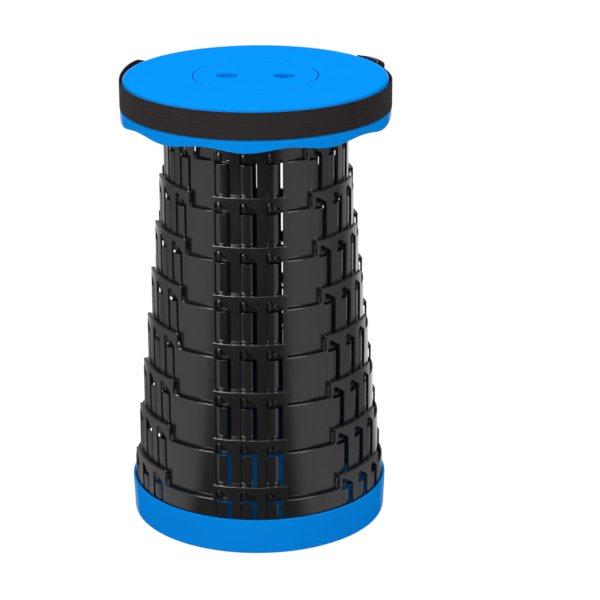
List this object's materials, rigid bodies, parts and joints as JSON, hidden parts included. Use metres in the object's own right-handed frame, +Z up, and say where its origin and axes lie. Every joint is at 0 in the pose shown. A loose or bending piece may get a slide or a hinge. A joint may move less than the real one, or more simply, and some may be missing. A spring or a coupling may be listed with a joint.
{
  "type": "collapsible telescopic stool",
  "caption": "Round plastic stool whose tapering ringed column slides together into a flat disc; wavy-skirted seat with a finger-hole cap and carrying strap.",
  "frame": {"origin": "on the floor under the middle of the stool", "axes": "+Z up, -Y towards the front, where an arcade of the column and the deepest lobe of the seat's skirt are centred, +X to the right seen from the front"},
  "size_m": [0.2582, 0.2572, 0.4396],
  "materials": {
    "blue_plastic": "satin",
    "black_plastic": "satin",
    "webbing": "woven",
    "rubber": "matte",
    "steel": "plain"
  },
  "bodies": {
    "base": {"base_tray": "blue_plastic", "ring_8": "black_plastic", "base_screw_1": "steel", "base_screw_2": "steel", "base_screw_3": "steel", "foot_pad_1": "rubber", "foot_pad_2": "rubber", "foot_pad_3": "rubber", "foot_pad_4": "rubber", "foot_pad_5": "rubber", "foot_pad_6": "rubber"},
    "tier_7": {"ring_7": "black_plastic"},
    "tier_6": {"ring_6": "black_plastic"},
    "tier_5": {"ring_5": "black_plastic"},
    "tier_4": {"ring_4": "black_plastic"},
    "tier_3": {"ring_3": "black_plastic"},
    "tier_2": {"ring_2": "black_plastic"},
    "tier_1": {"ring_1": "black_plastic"},
    "seat": {"seat_tube": "black_plastic", "seat_shell": "blue_plastic", "centre_cap": "blue_plastic", "seat_screw_1": "steel", "seat_screw_2": "steel", "seat_screw_3": "steel", "strap": "webbing", "strap_slider": "black_plastic", "strap_rivet_left": "steel", "strap_rivet_right": "steel"}
  },
  "joints": [
    {"name": "tier_7_slide", "type": "slide", "parent": "base", "child": "tier_7", "axis": [0, 0, 1], "range_m": [-0.04625, 0]},
    {"name": "tier_6_slide", "type": "slide", "parent": "tier_7", "child": "tier_6", "axis": [0, 0, 1], "range_m": [-0.04625, 0]},
    {"name": "tier_5_slide", "type": "slide", "parent": "tier_6", "child": "tier_5", "axis": [0, 0, 1], "range_m": [-0.04625, 0]},
    {"name": "tier_4_slide", "type": "slide", "parent": "tier_5", "child": "tier_4", "axis": [0, 0, 1], "range_m": [-0.04625, 0]},
    {"name": "tier_3_slide", "type": "slide", "parent": "tier_4", "child": "tier_3", "axis": [0, 0, 1], "range_m": [-0.04625, 0]},
    {"name": "tier_2_slide", "type": "slide", "parent": "tier_3", "child": "tier_2", "axis": [0, 0, 1], "range_m": [-0.04625, 0]},
    {"name": "tier_1_slide", "type": "slide", "parent": "tier_2", "child": "tier_1", "axis": [0, 0, 1], "range_m": [-0.04625, 0]},
    {"name": "seat_slide", "type": "slide", "parent": "tier_1", "child": "seat", "axis": [0, 0, 1], "range_m": [-0.0388, 0]}
  ]
}
